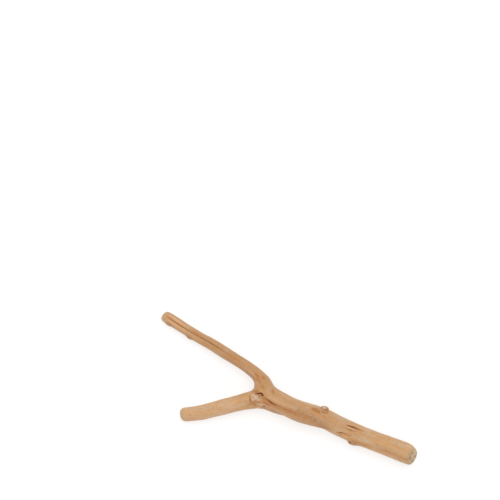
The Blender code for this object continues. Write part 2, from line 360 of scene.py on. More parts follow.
LONG_CRACK = (
    (47.2, 18.8, 0.24, 0.0),
    (49.2, 19.1, 0.38, 0.6),
    (51.0, 19.4, 0.56, 1.1),
    (52.8, 19.8, 0.62, 1.2),
    (55.0, 20.1, 0.44, 0.9),
    (57.1, 20.4, 0.32, 0.5),
    (58.6, 20.5, 0.28, 0.4),
    (60.6, 20.8, 0.20, 0.0),
)
CRACK_LIP = (
    (49.4, 17.9, 0.5, 0.0),
    (52.4, 18.4, 0.6, -0.25),
    (55.0, 19.0, 0.6, -0.25),
    (59.0, 19.9, 0.4, 0.0),
)
FINE_CRACK = (
    (48.1, 16.3, 0.30, 0.0),
    (50.8, 16.7, 0.36, 0.35),
    (52.8, 17.0, 0.40, 0.5),
    (54.8, 17.4, 0.36, 0.3),
    (56.8, 17.9, 0.30, 0.15),
    (60.3, 18.9, 0.30, 0.0),
)
SHORT_CRACK = (
    (45.4, 11.7, 0.30, 0.1),
    (46.9, 12.1, 0.38, 0.7),
    (49.0, 12.7, 0.36, 0.75),
    (50.7, 13.1, 0.30, 0.4),
    (54.0, 13.9, 0.25, 0.0),
)
LOW_CRACK = (
    (46.8, 11.6, 0.26, 0.1),
    (48.2, 11.3, 0.30, 0.4),
    (49.4, 11.4, 0.30, 0.4),
    (50.8, 11.7, 0.26, 0.0),
)
NUB_RING = (
    (27.9, 20.0, 0.40, 0.1),
    (28.9, 19.3, 0.45, 0.35),
    (31.2, 18.7, 0.50, 0.5),
    (33.0, 19.4, 0.45, 0.45),
    (33.8, 20.8, 0.40, 0.2),
)
UNDER_GROOVE = (
    (-4, 13.0, 1.2, 0.0),
    (8, 12.4, 1.4, 0.8),
    (22, 14.6, 1.2, 0.9),
    (40, 17.4, 1.0, 0.5),
    (50, 18.0, 1.0, 0.0),
)
UNDER_CRACK = (
    (62, 15.6, 0.25, 0.0),
    (67, 16.2, 0.40, 1.0),
    (74, 17.2, 0.40, 0.9),
    (82, 17.7, 0.25, 0.0),
)
UNDER_KNOT = (
    (-27.0, -6.6, 0.6, 0.6),
    (-26.0, -5.2, 0.8, 1.1),
    (-25.0, -4.4, 0.6, 0.6),
)
UNDER_ARM_GROOVE = (
    (-36, 22.6, 0.6, 0.0),
    (-48, 23.2, 0.8, 0.6),
    (-60, 23.9, 0.8, 0.6),
    (-70, 24.6, 0.6, 0.0),
)
# Each opening's line, whether it is on the top (1) or the underside (-1), how steep its walls
# are (2 is a soft furrow, 3 a crack), and how dark it is made: by old dirt, and by painted shade
# in the hollow, the seam and the pit beside the stub. Those on the top come first.
OPENINGS = (
    (LONG_GROOVE, 1, 2, 0.0),
    (LONG_CHECK, 1, 3, 0.45),
    (ARM_FURROW, 1, 2, 0.0),
    (FORK_HOLLOW, 1, 3, 1.0),
    (HOLLOW_BUMP, 1, 2, 0.0),
    (FORK_SEAM, 1, 2.5, 0.8),
    (SEAM_FURROW, 1, 2, 0.0),
    (STUB_RIM, 1, 2, 0.0),
    (STUB_LIP, 1, 2, 0.0),
    (LIP_PIT, 1, 3, 1.1),
    (LONG_CRACK, 1, 3, 0.95),
    (CRACK_LIP, 1, 2, 0.0),
    (FINE_CRACK, 1, 2.5, 0.5),
    (SHORT_CRACK, 1, 3, 0.65),
    (LOW_CRACK, 1, 2.5, 0.45),
    (NUB_RING, 1, 2.5, 0.45),
    (UNDER_GROOVE, -1, 2, 0.3),
    (UNDER_CRACK, -1, 3, 0.8),
    (UNDER_KNOT, -1, 3, 0.8),
    (UNDER_ARM_GROOVE, -1, 2, 0.3),
)
# Lines are laid on the wood from this far over it, or under it, at four places on each stretch.
CLEAR_HEIGHT = 50 * MM
STRETCH_SHARES = (0.25, 0.5, 0.75, 1.0)
# How many half widths away a line has nothing left to give.
LINE_REACH = 3.0
# The depth, in millimetres, at which an opening is as dark as its dirt and painted shade make it.
FULL_DIRT_AND_SHADE_DEPTH = 0.9


def line_on_wood(tree, marks, side):
    """A line of marks, laid on the wood from above it, or from below it where side is -1."""
    rows = []
    points = np.array(marks, dtype=float)
    points[:, :3] *= MM
    for start, end in zip(points[:-1], points[1:]):
        for share in STRETCH_SHARES:
            x, y, half_width, value = start + share * (end - start)
            height = side * CLEAR_HEIGHT
            place = tree.ray_cast(Vector((x, y, height)), Vector((0, 0, -height)))[0]
            if place is not None:
                rows.append((*place, half_width, value))
    return np.array(rows)


def line_strength(points, line, steep=2):
    """How much of a line's value each point has: all of it on the line, little past its half width."""
    reach = LINE_REACH * line[:, 3].max()
    low, high = line[:, :3].min(axis=0) - reach, line[:, :3].max(axis=0) + reach
    near = ((points > low) & (points < high)).all(axis=1)
    strength = np.zeros(len(points))
    if near.any():
        distances, rows = nearest_rows(points[near], line)
        strength[near] = rows[:, 4] * np.exp(-((distances / rows[:, 3]) ** steep))
    return strength


def strongest(points, lines):
    """The most that any of the lines gives to each point."""
    most = np.zeros(len(points))
    for line in lines:
        most = np.maximum(most, line_strength(points, line))
    return most


# What time has done to the colour, with some painted light and shade. Tannin and old bark stain
# the wood orange-brown, mostly in the fork, round the stub and beside the twig stumps. Some of the
# stain strokes are painted shade: in the valley along the long arm, below the stub's rim, along
# the seam and in its trough, and under and round the top stump. Rims and lips are worn pale, and
# on the rim round the stub's end, on its lip and on the lips beside two cracks the pale is partly
# painted highlight. The stub's end, the stumps' tops and some streaks have bleached to grey. It is
# all colour, but for bleached wood, which is rougher too. Each row is one stroke on the top of the
# wood, or on its underside for STAINS_BELOW. Each mark in it is x, y and half width in
# millimetres, and how strong the colour is.
STAINS_AND_SHADE = (
    ((-96.8, 26.8, 0.7, 0.7), (-92.2, 26.2, 0.8, 1.0), (-86.0, 25.4, 0.7, 0.8), (-78.0, 24.8, 0.5, 0.4)),
    ((-79.5, 26.0, 0.6, 0.2), (-74.5, 25.8, 0.8, 0.6), (-69.0, 25.8, 0.7, 0.5), (-62.0, 25.6, 0.6, 0.2)),
    ((-93.5, 23.6, 0.9, 0.4), (-91.0, 22.8, 1.1, 0.7), (-88.0, 23.4, 0.8, 0.2)),
    ((-50.0, 23.6, 0.9, 0.3), (-44.0, 22.9, 1.3, 0.5), (-37.0, 22.3, 1.6, 0.35),
     (-30.0, 21.8, 1.6, 0.15)),
    ((-23.0, 20.2, 1.2, 0.5), (-21.2, 19.6, 1.4, 1.0), (-19.4, 19.4, 1.1, 0.6)),
    ((-21.0, 18.0, 1.6, 0.35), (-19.0, 17.1, 1.4, 0.7), (-16.4, 16.4, 1.2, 0.45)),
    ((-18.2, 20.3, 1.0, 0.5), (-16.4, 19.8, 1.3, 0.8), (-14.2, 19.4, 0.9, 0.3)),
    ((-15.6, 14.6, 1.0, 0.4), (-13.6, 14.2, 1.3, 0.7), (-11.4, 13.6, 1.0, 0.3)),
    ((-7.6, 16.0, 0.8, 0.5), (-6.0, 14.6, 1.1, 0.9), (-4.5, 13.4, 0.9, 0.5)),
    ((-18.6, 8.4, 0.8, 0.5), (-17.2, 9.2, 1.0, 0.9), (-15.4, 10.3, 1.0, 0.7)),
    ((-18.6, 5.6, 0.6, 0.5), (-17.7, 3.4, 0.8, 0.9), (-16.2, 2.0, 0.9, 1.0),
     (-14.4, 2.1, 0.9, 1.0), (-12.6, 2.2, 0.7, 0.7)),
    ((-13.6, 1.4, 0.7, 0.8), (-12.2, 1.5, 0.5, 0.5), (-10.8, 1.6, 0.4, 0.1)),
    ((-14.2, 3.0, 0.7, 0.8), (-12.4, 3.2, 1.0, 1.1), (-10.2, 3.8, 0.9, 0.7)),
    ((-11.0, 4.8, 0.9, 0.25), (-8.8, 5.1, 1.3, 0.7), (-5.4, 5.2, 1.4, 0.8), (-2.6, 5.4, 1.0, 0.4)),
    ((-24.0, -3.0, 2.6, 0.15), (-20.5, -0.5, 2.2, 0.3), (-16.0, 0.0, 1.8, 0.35)),
    ((-10.0, 7.4, 0.7, 0.5), (-6.0, 7.6, 0.8, 0.6), (0.0, 7.4, 0.9, 0.6), (4.5, 7.9, 1.0, 0.7)),
    ((4.5, 7.9, 1.0, 0.7), (9.0, 7.9, 1.3, 0.7), (16.0, 9.2, 1.4, 0.45), (26.0, 11.4, 1.5, 0.38),
     (35.0, 13.6, 1.5, 0.2)),
    ((2.0, 13.0, 4.0, 0.2), (14.0, 14.0, 5.0, 0.32), (30.0, 16.0, 5.0, 0.34),
     (44.0, 17.0, 5.0, 0.28), (60.0, 19.0, 5.0, 0.15)),
    ((21.0, 17.2, 1.1, 0.4), (23.6, 17.4, 1.8, 1.0), (26.4, 17.7, 1.8, 1.2),
     (28.4, 17.3, 1.4, 1.0), (30.0, 16.9, 0.9, 0.5)),
    ((31.0, 21.4, 0.9, 0.8), (32.2, 21.3, 0.9, 0.9)),
    ((28.6, 19.4, 0.7, 0.6), (31.2, 18.6, 0.8, 0.9), (33.6, 19.9, 0.7, 0.7)),
    ((30.6, 15.8, 0.6, 0.2), (33.0, 15.6, 0.8, 0.4), (35.0, 16.8, 0.8, 0.4), (35.4, 19.0, 0.7, 0.2)),
    ((47.6, 18.6, 0.8, 0.3), (53.0, 19.3, 1.0, 0.7), (56.4, 19.8, 1.0, 0.8),
     (60.4, 20.6, 0.8, 0.5), (64.0, 21.2, 0.8, 0.1)),
    ((49.0, 16.2, 0.7, 0.2), (52.5, 16.7, 0.9, 0.6), (56.0, 17.4, 0.7, 0.3)),
    ((44.8, 11.4, 0.8, 0.6), (47.6, 11.8, 1.0, 0.6), (51.0, 12.6, 0.9, 0.4), (54.6, 13.6, 0.9, 0.6)),
    ((55.6, 12.0, 1.2, 0.3), (58.4, 11.4, 1.6, 0.65), (62.0, 12.5, 1.5, 0.5),
     (66.6, 13.0, 1.5, 0.55), (70.6, 14.0, 1.2, 0.3)),
    ((68.0, 14.2, 1.6, 0.3), (78.0, 15.8, 2.2, 0.42), (88.0, 17.2, 2.0, 0.36), (92.4, 17.5, 1.4, 0.4)),
    ((92.4, 17.5, 1.2, 0.3), (95.2, 17.9, 1.3, 0.75), (97.0, 18.8, 1.2, 0.75), (97.6, 20.6, 1.0, 0.4)),
    ((-48.9, -25.4, 0.5, 0.3), (-47.6, -26.2, 0.6, 0.5)),
)
STAINS_BELOW = (
    ((-22.0, 0.0, 3.0, 0.3), (-12.0, 9.0, 4.0, 0.6), (2.0, 12.0, 3.0, 0.3)),
    ((60.0, 22.0, 2.0, 0.2), (70.0, 23.0, 2.4, 0.6), (78.0, 23.5, 2.0, 0.3)),
    ((-52.0, 22.0, 1.6, 0.3), (-64.0, 23.5, 1.8, 0.5), (-76.0, 24.0, 1.6, 0.2)),
    ((10.0, 12.5, 1.6, 0.4), (30.0, 15.6, 1.8, 0.6), (44.0, 17.6, 1.4, 0.3)),
    ((-40.0, -17.0, 1.6, 0.2), (-30.0, -8.0, 2.2, 0.6), (-22.0, -1.0, 2.0, 0.4)),
)
WEAR_AND_HIGHLIGHTS = (
    ((-96.6, 28.4, 0.8, 0.4), (-90.0, 27.8, 0.9, 0.6), (-82.0, 26.8, 0.8, 0.35),
     (-74.0, 27.2, 0.8, 0.1)),
    ((-96.0, 25.0, 0.6, 0.4), (-88.0, 24.0, 0.8, 0.5), (-78.0, 23.2, 0.7, 0.3), (-66.0, 22.8, 0.8, 0.1)),
    ((-16.4, 7.4, 0.70, 1.0), (-17.2, 5.8, 0.50, 1.0), (-17.0, 4.2, 0.50, 1.0), (-15.7, 3.2, 0.50, 1.0)),
    ((-15.7, 3.2, 0.45, 0.6), (-14.6, 3.0, 0.40, 0.3)),
    ((-12.0, 1.4, 0.4, 0.2), (-10.6, 1.3, 0.6, 0.8), (-9.0, 1.6, 0.6, 0.7), (-8.0, 1.9, 0.4, 0.3)),
    ((-15.4, 7.2, 0.5, 0.6), (-14.2, 7.6, 0.5, 0.5), (-13.2, 7.8, 0.5, 0.2)),
    ((-12.2, 2.0, 0.4, 0.1), (-11.0, 1.9, 0.5, 0.35), (-9.6, 2.1, 0.5, 0.8),
     (-8.0, 2.6, 0.5, 0.9), (-5.8, 3.4, 0.5, 0.5)),
    ((-9.6, 11.8, 1.4, 0.1), (-4.0, 10.4, 1.8, 0.20), (4.0, 10.2, 1.6, 0.25), (12.0, 11.0, 1.4, 0.15)),
    ((49.6, 17.9, 0.5, 0.4), (51.6, 18.1, 0.4, 0.5), (53.6, 18.6, 0.4, 0.2)),
    ((48.2, 12.0, 0.4, 0.4), (49.5, 12.1, 0.4, 0.7), (50.6, 12.4, 0.4, 0.3)),
    ((97.6, 17.6, 0.9, 0.4), (98.4, 22.0, 0.7, 0.5), (98.0, 27.0, 0.9, 0.5)),
    ((90.0, 26.6, 1.0, 0.15), (93.4, 26.6, 1.4, 0.4), (96.0, 25.6, 1.2, 0.4)),
)
BLEACHED_STREAKS = (
    ((-3.0, 4.5, 0.8, 0.25), (0.2, 4.6, 0.9, 0.5), (5.3, 4.9, 1.0, 0.5), (10.8, 5.1, 1.0, 0.4),
     (16.0, 5.8, 0.9, 0.15)),
    ((-4.0, 16.6, 0.8, 0.1), (0.0, 16.4, 1.2, 0.4), (5.0, 16.6, 0.8, 0.15)),
    ((-16.3, 6.0, 1.5, 1.0), (-14.6, 5.6, 1.9, 0.95), (-12.6, 5.4, 1.8, 0.75), (-10.8, 5.8, 1.3, 0.3)),
    ((27.8, 22.9, 0.8, 0.7), (29.2, 22.3, 0.9, 1.0), (30.6, 22.6, 0.7, 0.9)),
    ((58.0, 13.4, 0.6, 0.1), (63.0, 14.6, 0.7, 0.3), (67.0, 15.7, 0.7, 0.3), (71.0, 16.6, 0.6, 0.1)),
    ((-98.4, 24.2, 0.9, 0.6), (-96.6, 23.6, 0.8, 0.6), (-94.0, 22.9, 0.6, 0.3)),
    ((55.0, 9.9, 0.5, 0.5), (56.8, 9.7, 0.6, 0.6)),
)
# Old bark or rot that has stayed black-brown in a small place, and painted shade in the hollow beside
# the stub, along its seam and in the pit under its lip.
DARK_SPOTS = (
    ((55.4, 10.3, 0.6, 0.7), (56.0, 10.1, 0.8, 1.2), (56.8, 10.1, 0.6, 0.7)),
    ((27.4, 23.2, 0.4, 0.3), (28.9, 23.5, 0.5, 0.4), (31.9, 22.8, 0.5, 0.4)),
    ((-16.2, 8.3, 0.5, 0.4), (-15.4, 8.6, 0.5, 0.5)),
    ((-13.2, 8.9, 0.6, 0.30), (-11.9, 8.7, 0.6, 0.40), (-10.9, 8.3, 0.5, 0.25)),
    ((-7.3, 2.8, 0.5, 0.6), (-6.8, 2.9, 0.6, 1.2), (-6.2, 3.0, 0.5, 0.8)),
    ((-7.4, 7.9, 0.4, 0.12), (-5.2, 7.6, 0.6, 0.34), (-3.4, 7.3, 0.7, 0.62), (-1.8, 7.3, 0.5, 0.30)),
    ((99.0, 23.2, 0.5, 0.6), (98.9, 24.6, 0.5, 0.5)),
    ((-48.6, -25.8, 0.3, 0.3), (-47.9, -26.2, 0.3, 0.35)),
)


# The skin's fine relief. Fibres stand up a little where softer wood between them has worn away,
# they part round each twig stump, and tumbling has left low lumps and dents all over. Bleached
# wood is rougher. A flute is a standing fibre, with its length and width in millimetres.
LUMP_HEIGHT = 0.22 * MM
LUMP_SIZE = 9 * MM
FLUTE_HEIGHT = 0.07 * MM
FLUTE_LENGTH = 26.0
FLUTE_WIDTH = 1.5
DENT_DEPTH = 0.06 * MM
DENT_SIZE = 2.8 * MM
BLEACHED_ROUGHNESS = 2.5
# How strongly the grain parts round a stump, and how far out, as a multiple of its radius.
PARTING = 0.75
PARTING_REACH = 2.2


def part_grain(points, grain):
    """Bends the straightened grain outwards round each twig stump."""
    for x, y, z, radius in (nub[:4] for nub in NUBS):
        distances = np.linalg.norm(points - np.array((x, y, z)) * MM, axis=1)
        middle = grain[distances.argmin(), 1:]
        near = PARTING * np.exp(-((distances / (radius * MM * PARTING_REACH)) ** 2))
        grain[:, 1:] -= near[:, None] * (grain[:, 1:] - middle)


def fine_relief(points, grain):
    """How far the lumps, the dents and the standing fibres raise each point."""
    flutes = (grain[:, 0] / FLUTE_LENGTH, grain[:, 1] / FLUTE_WIDTH, grain[:, 2] / FLUTE_WIDTH)
    lumps = np.array([noise.noise(Vector(point) / LUMP_SIZE) for point in points])
    dents = np.array([noise.noise(Vector(point) / DENT_SIZE) for point in points])
    fibres = np.array([noise.noise(Vector(place)) for place in zip(*flutes)])
    return LUMP_HEIGHT * lumps + DENT_DEPTH * dents + FLUTE_HEIGHT * fibres


# The body of the wood, as one closed skin. It starts from the frame's own solid, which is
# divided finely, drawn onto the branch's true form, and divided again where there is detail.
VOXEL = 0.6 * MM
ROUGH_ROUNDS = 3
FINE_ROUNDS = 2
# Where the way out is less sure than this, between two limbs, a vertex takes no longer steps.
LEAST_OUTWARD = 0.5
# Corners closer than this are one corner, and what is closer than this to the floor lies on it.
NO_GAP = 0.001 * MM
# A line's half width, in millimetres, below which it is fine detail, and how far from it the skin
# is divided once more, and then again.
FINE_WIDTH = 0.55
DETAIL_REACH = 1.6 * MM
CRACK_REACH = 0.75 * MM
# Where a seam is this strong, its sides are divided too.
DETAIL_SEAM = 0.2


def evaluated_mesh(helper):
    """The mesh that a helper object shows, which is then removed."""
    bpy.context.scene.collection.objects.link(helper)
    depsgraph = bpy.context.evaluated_depsgraph_get()
    mesh = bpy.data.meshes.new_from_object(helper.evaluated_get(depsgraph))
    bpy.data.objects.remove(helper)
    return mesh


def remeshed(mesh, voxel):
    """The same body, divided into small even faces."""
    helper = bpy.data.objects.new("wood", mesh)
    modifier = helper.modifiers.new("Remesh", "REMESH")
    modifier.mode = "VOXEL"
    modifier.voxel_size = voxel
    return evaluated_mesh(helper)


def merged_copy(node):
    """A copy of a frame node's mesh, with its loose triangles joined."""
    mesh = bpy.data.meshes.new("wood")
    bm = bmesh.new()
    bm.from_mesh(node.data)
    bmesh.ops.remove_doubles(bm, verts=bm.verts[:], dist=NO_GAP)
    bm.to_mesh(mesh)
    bm.free()
    return mesh


def read(mesh, name):
    """The place, or the way the skin faces, at each vertex."""
    flat = np.empty(3 * len(mesh.vertices))
    mesh.vertices.foreach_get(name, flat)
    return flat.reshape(-1, 3)


def move_to(mesh, points):
    """Puts each vertex at its new place."""
    mesh.vertices.foreach_set("co", points.ravel())
    mesh.update()


def settle_on_skin(mesh, limbs, rounds):
    """Slides every vertex onto the branch's skin, and gives what the skin carries there."""
    points = read(mesh, "co")
    for _ in range(rounds):
        distance, fields = branch_shape(points, limbs)
        outward = fields[:, OUTWARD]
        length = np.maximum(np.linalg.norm(outward, axis=1), LEAST_OUTWARD)
        points = points - outward * (distance / length**2)[:, None]
    move_to(mesh, points)
    return fields


def laid_out(mesh, rows_above, rows_below=()):
    """Lines of marks, laid on the top and on the underside of the wood."""
    tree = BVHTree.FromPolygons([v.co for v in mesh.vertices], [p.vertices for p in mesh.polygons])
    above = [line_on_wood(tree, marks, 1) for marks in rows_above]
    return above + [line_on_wood(tree, marks, -1) for marks in rows_below]


def close_to(points, lines, reach):
    """Which points lie within reach of a fine line."""
    near = np.zeros(len(points), dtype=bool)
    for line in lines:
        if line[:, 3].max() < FINE_WIDTH * MM:
            near |= nearest_rows(points, line)[0] < reach
    return near


def divide_detail(mesh, near):
    """Divides the faces whose vertices are all near a detail."""
    bm = bmesh.new()
    bm.from_mesh(mesh)
    edges = [e for e in bm.edges if near[e.verts[0].index] and near[e.verts[1].index]]
    bmesh.ops.subdivide_edges(bm, edges=edges, cuts=1, use_grid_fill=True)
    bm.to_mesh(mesh)
    bm.free()


def cut_rest_flats(mesh):
    """Wears the lowest places flat, where the branch rests."""
    bm = bmesh.new()
    bm.from_mesh(mesh)
    cut_parts = bmesh.ops.bisect_plane(
        bm, geom=bm.verts[:] + bm.edges[:] + bm.faces[:], dist=NO_GAP,
        plane_co=(0, 0, 0), plane_no=(0, 0, -1), clear_outer=True,
    )
    rim = [e for e in cut_parts["geom_cut"] if isinstance(e, bmesh.types.BMEdge)]
    bmesh.ops.contextual_create(bm, geom=rim)
    bm.to_mesh(mesh)
    bm.free()


def store(mesh, name, values):
    """Keeps a value, or three, at each vertex for the material to read."""
    wide = values.ndim == 2
    attribute = mesh.attributes.new(name, "FLOAT_VECTOR" if wide else "FLOAT", "POINT")
    attribute.data.foreach_set("vector" if wide else "value", values.astype(np.float32).ravel())


def wood_body():
    """The branch's skin with its relief, and what the material reads at each vertex."""
    main = centreline(MAIN_RUN, MAIN_BROWN)
    limbs = [main, branching_off(SIDE_ARM, SIDE_BROWN, main), branching_off(STUB, STUB_BROWN, main)]
    mesh = remeshed(merged_copy(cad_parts["driftwood_branch"]), VOXEL)
    fields = settle_on_skin(mesh, limbs, ROUGH_ROUNDS)
    rows_above = [row[0] for row in OPENINGS if row[1] == 1]
    rows_below = [row[0] for row in OPENINGS if row[1] == -1]
    lines = laid_out(mesh, rows_above, rows_below)
    near = close_to(read(mesh, "co"), lines, DETAIL_REACH)
    divide_detail(mesh, near | (fields[:, SEAM] > DETAIL_SEAM))
    divide_detail(mesh, close_to(read(mesh, "co"), lines, CRACK_REACH))
    fields = settle_on_skin(mesh, limbs, FINE_ROUNDS)
    points = read(mesh, "co")
    grain = fields[:, GRAIN].copy()
    part_grain(points, grain)
    depth = np.zeros(len(points))
    # The openings and dark spots are darkened by dirt, and by painted shade in the hollow, along the
    # seam and in the pit beside the stub.
    dirt_and_shade = strongest(points, laid_out(mesh, DARK_SPOTS))
    for line, (_, _, steep, dark) in zip(lines, OPENINGS):
        here = line_strength(points, line, steep)
        depth += here * MM
        dirt_and_shade = np.maximum(dirt_and_shade, dark * np.clip(here / FULL_DIRT_AND_SHADE_DEPTH, 0.0, 1.0))
    bleached = np.maximum(fields[:, BLEACHED], strongest(points, laid_out(mesh, BLEACHED_STREAKS)))
    height = fine_relief(points, grain) * (1 + BLEACHED_ROUGHNESS * bleached) - depth
    store(mesh, "grain", grain)
    store(mesh, "brown", fields[:, BROWN])
    store(mesh, "dirt_and_shade", dirt_and_shade)
    # Stains, with painted shade among them: the arm's valley, the seam's trough, below the stub's rim
    # and round the top stump.
    store(mesh, "stain_and_shade", strongest(points, laid_out(mesh, STAINS_AND_SHADE, STAINS_BELOW)))
    # Pale wear, partly painted highlight on the rim round the stub's end, its lip and the lips beside
    # two cracks.
    store(mesh, "wear_and_highlight", strongest(points, laid_out(mesh, WEAR_AND_HIGHLIGHTS)))
    store(mesh, "cut", fields[:, CUT])
    store(mesh, "bleached", bleached)
    store(mesh, "seam", fields[:, SEAM])
    moved = points + read(mesh, "normal") * height[:, None]
    move_to(mesh, np.clip(moved, cad_low, cad_high))
    cut_rest_flats(mesh)
    mesh.shade_smooth()
    return mesh


# The wood's colour and finish: bare tan wood with light and dark fibres, warmer and browner at
# the fork, grey where it has bleached, red-brown where dirt stays and where shade is painted in
# hollows and creases, and dull all over.
KHAKI = (0.50, 0.36, 0.212, 1)
TAN = (0.582, 0.353, 0.187, 1)
OCHRE = (0.582, 0.323, 0.132, 1)
ROSE = (0.622, 0.382, 0.236, 1)
EVEN_TAN = (0.622, 0.395, 0.238, 1)
BROWN_TINT = (0.83, 0.76, 0.70, 1)
ORANGE = (0.42, 0.172, 0.048, 1)
RUST = (0.47, 0.20, 0.075, 1)
GREY_TAN = (0.582, 0.43, 0.28, 1)
PEACH = (0.81, 0.515, 0.33, 1)
CREAM = (0.80, 0.66, 0.52, 1)
ASH = (0.49, 0.405, 0.29, 1)
END_PALE = (0.62, 0.45, 0.25, 1)
END_DARK = (0.25, 0.13, 0.035, 1)
SEAM_BROWN_AND_SHADE = (0.36, 0.15, 0.055, 1)
DARK_RED_BROWN = (0.29, 0.090, 0.016, 1)
BLACK_BROWN = (0.13, 0.026, 0.002, 1)
# Fibres of four sizes: length and width in millimetres, how much finer noise each has, and how
# far it wanders from the grain.
BAND_FIBRES = (60.0, 5.0, 2.0, 3.0)
STREAK_FIBRES = (24.0, 0.9, 4.0, 1.0)
FLECK_FIBRES = (7.0, 1.1, 3.0, 1.5)
FINE_FIBRES = (5.0, 0.17, 2.0, 0.6)
# How often a slow sway of the fibres comes round, along the grain and across it.
SWAY_STRETCH = (0.06, 0.2, 0.2)
# Spots of colour: two that are as long as they are wide, and one that is long with the grain.
PATCH_SCALE = 160.0
MOTTLE_SCALE = 420.0
TINT_STRETCH = (0.12, 0.36, 0.36)
# The end grain's rings, in millimetres, how much patches and mottle bend them, the pith in their
# middle, and the rays that checks follow out of it.
RING_WIDTH = 0.8
RING_BEND_BROAD = 3.0
RING_BEND_FINE = 0.4
PITH_RADIUS = (0.6, 1.1)
RAYS_ROUND = 3.0
RAYS_OUT = 0.12
# The finish: dull, with the faint bloom of fibres that stand up.
DULL_SHINE = 0.2
FIBRE_SHEEN = 0.22
ROUGH_DARK_STREAK = 0.74
ROUGH_LIGHT_STREAK = 0.60
ROUGHER_DIRT_AND_SHADE = 0.2
# How high the finest fibres and mottle seem to stand, in millimetres. They are too fine for shape.
STREAK_BUMP = 0.05
FIBRE_BUMP = 0.02
MOTTLE_BUMP = 0.05


def node(tree, kind, inputs, **settings):
    """Adds a node, sets it up, and gives each named input a value or a link."""
    made = tree.nodes.new(kind)
    for name, value in settings.items():
        setattr(made, name, value)
    for name, value in inputs.items():
        if isinstance(value, bpy.types.NodeSocket):
            tree.links.new(value, made.inputs[name])
        else:
            made.inputs[name].default_value = value
    return made


def vectors(tree, operation, first, second):
    """One step of arithmetic on vectors."""
    return node(tree, "ShaderNodeVectorMath", {0: first, 1: second}, operation=operation).outputs[0]


def sums(tree, operation, first, second=0.0):
    """One step of arithmetic on values."""
    return node(tree, "ShaderNodeMath", {0: first, 1: second}, operation=operation).outputs[0]


def spread(tree, value, low, high, to_low=0.0, to_high=1.0):
    """A value from low to high, spread over another range and kept inside it."""
    inputs = {"Value": value, "From Min": low, "From Max": high, "To Min": to_low, "To Max": to_high}
    return node(tree, "ShaderNodeMapRange", inputs).outputs["Result"]


def mixed(tree, share, first, second, blend="MIX"):
    """Two colours mixed, by the share of the second."""
    inputs = {0: share, 6: first, 7: second}
    return node(tree, "ShaderNodeMix", inputs, data_type="RGBA", blend_type=blend).outputs[2]


def shaded(tree, colour, value, dark, light):
    """A colour made darker or lighter by a value from 0 to 1."""
    level = spread(tree, value, 0.0, 1.0, dark, light)
    grey = node(tree, "ShaderNodeCombineXYZ", {"X": level, "Y": level, "Z": level}).outputs[0]
    return vectors(tree, "MULTIPLY", colour, grey)


def noise_value(tree, vector, scale, detail, roughness=0.5):
    """Soft noise from 0 to 1."""
    inputs = {"Vector": vector, "Scale": scale, "Detail": detail, "Roughness": roughness}
    return node(tree, "ShaderNodeTexNoise", inputs).outputs["Fac"]


def new_group(name, inputs, outputs):
    """A shader node group with named sockets, with its input sockets and its output node."""
    tree = bpy.data.node_groups.new(name, "ShaderNodeTree")
    for label, kind in inputs:
        tree.interface.new_socket(label, in_out="INPUT", socket_type="NodeSocket" + kind)
    for label, kind in outputs:
        tree.interface.new_socket(label, in_out="OUTPUT", socket_type="NodeSocket" + kind)
    return tree, tree.nodes.new("NodeGroupInput").outputs, tree.nodes.new("NodeGroupOutput").inputs


def fibres_group():
    """Fibres that wander a little as they follow the grain: 0 on a dark one, 1 on a light one."""
    inputs = (("Grain", "Vector"), ("Length", "Float"), ("Width", "Float"), ("Detail", "Float"),
              ("Wander", "Float"))
    tree, given, out = new_group("wood fibres", inputs, [("Fibre", "Float")])
    slow = vectors(tree, "MULTIPLY", given["Grain"], SWAY_STRETCH)
    sway = node(tree, "ShaderNodeTexNoise", {"Vector": slow, "Scale": 1.0, "Detail": 1.0})
    sway = vectors(tree, "SUBTRACT", sway.outputs["Color"], (0.5, 0.5, 0.5))
    wander = node(tree, "ShaderNodeVectorMath", {0: sway, "Scale": given["Wander"]}, operation="SCALE")
    moved = vectors(tree, "ADD", given["Grain"], wander.outputs[0])
    along = sums(tree, "DIVIDE", 1.0, given["Length"])
    across = sums(tree, "DIVIDE", 1.0, given["Width"])
    scale = node(tree, "ShaderNodeCombineXYZ", {"X": along, "Y": across, "Z": across}).outputs[0]
    place = vectors(tree, "MULTIPLY", moved, scale)
    fibre = noise_value(tree, place, 1.0, given["Detail"], 0.6)
    tree.links.new(spread(tree, fibre, 0.28, 0.72), out["Fibre"])
    return tree


